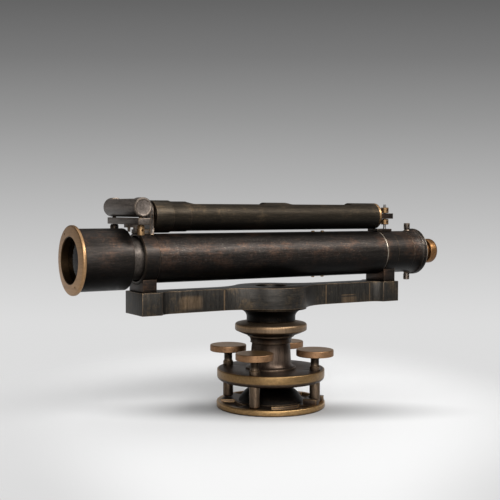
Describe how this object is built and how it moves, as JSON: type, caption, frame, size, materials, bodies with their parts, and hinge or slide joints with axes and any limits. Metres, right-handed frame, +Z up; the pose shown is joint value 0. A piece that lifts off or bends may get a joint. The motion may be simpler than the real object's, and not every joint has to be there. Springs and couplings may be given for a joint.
{
  "type": "dumpy level",
  "caption": "Surveyor's dumpy level: telescope on a stage bar with a long bubble tube and a cross level above, over a parallel-plate ball head with levelling screws.",
  "frame": {"origin": "on the vertical axis, at the underside of the lower plate, which is also the middle of the overall box's bottom face", "axes": "+Z up along the vertical axis, +X along the telescope from the objective end to the eyepiece, +Y to the far side in the picture, where the focusing knob is"},
  "size_m": [0.3696, 0.096, 0.1813],
  "materials": {
    "dark_bronze": "blackened bronze, satin, worn brown on edges",
    "plate_bronze": "darkened brass with rubbed rims",
    "copper_brass": "coppery patinated brass",
    "brass": "aged brass, dull gold",
    "bright_brass": "handled brass, warm and satin",
    "worn_brass_tube": "drawn tube, brown patina",
    "spindle_steel": "turned steel, oiled",
    "lens_glass": "polished optical glass",
    "vial_glass": "spirit-filled glass, pale green"
  },
  "bodies": {
    "base": {"lower_plate": "plate_bronze", "ball_socket_cap": "dark_bronze", "foot_stop_block": "plate_bronze"},
    "ball": {"half_ball": "brass"},
    "levelling_head": {"upper_plate": "plate_bronze", "column": "dark_bronze", "bearing_flange": "brass"},
    "carriage": {"stage_bar": "dark_bronze", "limb_neck": "dark_bronze", "spindle": "spindle_steel", "spindle_nut": "brass", "left_collar": "dark_bronze", "right_collar": "dark_bronze", "main_tube": "dark_bronze", "front_slide_bush": "brass", "rear_slide_bush": "brass", "bush_screw_1": "brass", "bush_screw_2": "brass", "bush_screw_3": "brass", "bush_screw_4": "brass", "pinion_box": "dark_bronze", "eye_tube": "dark_bronze", "eye_end_cap": "dark_bronze", "level_bracket": "dark_bronze", "stud_bracket": "dark_bronze", "level_stud": "spindle_steel", "level_hinge_pin": "spindle_steel", "cross_level_bar": "dark_bronze", "cross_screw_far": "dark_bronze"},
    "objective_slide": {"objective_barrel": "dark_bronze", "retaining_ring": "bright_brass", "crown_lens": "lens_glass", "flint_lens": "lens_glass", "draw_tube": "worn_brass_tube", "focus_rack": "brass"},
    "focus_drive": {"focus_pinion": "spindle_steel", "focus_knob": "brass"},
    "ocular": {"eyepiece": "bright_brass", "eye_lens": "lens_glass", "field_lens": "lens_glass"},
    "reticle": {"reticle_ring": "brass"},
    "reticle_top": {"reticle_screw_top": "dark_bronze"},
    "reticle_bottom": {"reticle_screw_bottom": "dark_bronze"},
    "main_level": {"level_tube": "dark_bronze", "level_hinge_plug": "brass", "level_tongue_plug": "brass", "level_vial": "vial_glass"},
    "upper_nut": {"stud_nut_upper": "bright_brass"},
    "lower_nut": {"stud_nut_lower": "bright_brass"},
    "cross_level": {"cross_level_tube": "dark_bronze", "cross_level_vial": "vial_glass"},
    "cross_near": {"cross_screw_near": "bright_brass"},
    "screw_1": {"levelling_screw_1": "plate_bronze"},
    "head_1": {"screw_head_1": "copper_brass"},
    "screw_2": {"levelling_screw_2": "plate_bronze"},
    "head_2": {"screw_head_2": "copper_brass"},
    "screw_3": {"levelling_screw_3": "plate_bronze"},
    "head_3": {"screw_head_3": "copper_brass"},
    "screw_4": {"levelling_screw_4": "plate_bronze"},
    "head_4": {"screw_head_4": "copper_brass"}
  },
  "joints": [
    {"name": "tilt_1", "type": "hinge", "parent": "base", "child": "ball", "pos_m": [0, 0, 0.0056], "axis": [-0.6101, 0.7923, 0], "range_deg": [-3, 3]},
    {"name": "tilt_2", "type": "hinge", "parent": "ball", "child": "levelling_head", "pos_m": [0, 0, 0.0056], "axis": [0.7923, 0.6101, 0], "range_deg": [-3, 3]},
    {"name": "azimuth", "type": "hinge", "parent": "levelling_head", "child": "carriage", "pos_m": [0, 0, 0.0748], "axis": [0, 0, 1], "continuous": true},
    {"name": "screw_1_run", "type": "slide", "parent": "levelling_head", "child": "screw_1", "axis": [0, 0, 1], "range_m": [-0.00231, 0.00231]},
    {"name": "head_1_turn", "type": "hinge", "parent": "screw_1", "child": "head_1", "pos_m": [0.03193, 0.02459, 0.0491], "axis": [0, 0, 1], "range_deg": [-612.7, 612.7]},
    {"name": "screw_2_run", "type": "slide", "parent": "levelling_head", "child": "screw_2", "axis": [0, 0, 1], "range_m": [-0.00231, 0.00231]},
    {"name": "head_2_turn", "type": "hinge", "parent": "screw_2", "child": "head_2", "pos_m": [-0.02459, 0.03193, 0.0491], "axis": [0, 0, 1], "range_deg": [-612.7, 612.7]},
    {"name": "screw_3_run", "type": "slide", "parent": "levelling_head", "child": "screw_3", "axis": [0, 0, 1], "range_m": [-0.00231, 0.00231]},
    {"name": "head_3_turn", "type": "hinge", "parent": "screw_3", "child": "head_3", "pos_m": [-0.03193, -0.02459, 0.0491], "axis": [0, 0, 1], "range_deg": [-612.7, 612.7]},
    {"name": "screw_4_run", "type": "slide", "parent": "levelling_head", "child": "screw_4", "axis": [0, 0, 1], "range_m": [-0.00231, 0.00231]},
    {"name": "head_4_turn", "type": "hinge", "parent": "screw_4", "child": "head_4", "pos_m": [0.02459, -0.03193, 0.0491], "axis": [0, 0, 1], "range_deg": [-612.7, 612.7]},
    {"name": "objective_slide", "type": "slide", "parent": "carriage", "child": "objective_slide", "axis": [-1, 0, 0], "range_m": [-0.0024, 0.03]},
    {"name": "focus_turn", "type": "hinge", "parent": "carriage", "child": "focus_drive", "pos_m": [0.03, 0.0338, 0.1279], "axis": [0, 1, 0], "range_deg": [-580, 60]},
    {"name": "eyepiece_slide", "type": "slide", "parent": "carriage", "child": "ocular", "axis": [1, 0, 0], "range_m": [-0.002, 0.003]},
    {"name": "reticle_shift", "type": "slide", "parent": "carriage", "child": "reticle", "axis": [0, 0, 1], "range_m": [-0.0006, 0.0006]},
    {"name": "reticle_screw_top_turn", "type": "hinge", "parent": "carriage", "child": "reticle_top", "pos_m": [0.1544, 0, 0.15635], "axis": [0, 0, 1], "range_deg": [-320, 320]},
    {"name": "reticle_screw_bottom_turn", "type": "hinge", "parent": "carriage", "child": "reticle_bottom", "pos_m": [0.1544, 0, 0.10835], "axis": [0, 0, 1], "range_deg": [-320, 320]},
    {"name": "level_tilt", "type": "hinge", "parent": "carriage", "child": "main_level", "pos_m": [-0.1186, 0, 0.1661], "axis": [0, 1, 0], "range_deg": [-0.2, 0.2]},
    {"name": "upper_nut_run", "type": "slide", "parent": "carriage", "child": "upper_nut", "axis": [0, 0, 1], "range_m": [-0.00106, 0.00106]},
    {"name": "lower_nut_run", "type": "slide", "parent": "carriage", "child": "lower_nut", "axis": [0, 0, 1], "range_m": [-0.00106, 0.00106]},
    {"name": "cross_level_tilt", "type": "hinge", "parent": "carriage", "child": "cross_level", "pos_m": [-0.1374, 0.023, 0.1656], "axis": [1, 0, 0], "range_deg": [-0.3, 0.3]},
    {"name": "cross_near_run", "type": "slide", "parent": "carriage", "child": "cross_near", "axis": [0, 0, 1], "range_m": [-0.00037, 0.00037]}
  ],
  "couplings": [
    {"joint": "screw_1_run", "follows": "tilt_1", "m_per_rad": 0.0403},
    {"joint": "head_1_turn", "follows": "tilt_1", "ratio": 202.57},
    {"joint": "screw_2_run", "follows": "tilt_2", "m_per_rad": -0.0403},
    {"joint": "head_2_turn", "follows": "tilt_2", "ratio": -202.57},
    {"joint": "screw_3_run", "follows": "tilt_1", "m_per_rad": -0.0403},
    {"joint": "head_3_turn", "follows": "tilt_1", "ratio": -202.57},
    {"joint": "screw_4_run", "follows": "tilt_2", "m_per_rad": 0.0403},
    {"joint": "head_4_turn", "follows": "tilt_2", "ratio": 202.57},
    {"joint": "focus_turn", "follows": "objective_slide", "rad_per_m": -333.33},
    {"joint": "reticle_screw_top_turn", "follows": "reticle_shift", "rad_per_m": 8976},
    {"joint": "reticle_screw_bottom_turn", "follows": "reticle_shift", "rad_per_m": 8976},
    {"joint": "upper_nut_run", "follows": "level_tilt", "m_per_rad": -0.2456},
    {"joint": "lower_nut_run", "follows": "level_tilt", "m_per_rad": -0.2456},
    {"joint": "cross_near_run", "follows": "cross_level_tilt", "m_per_rad": -0.051}
  ]
}
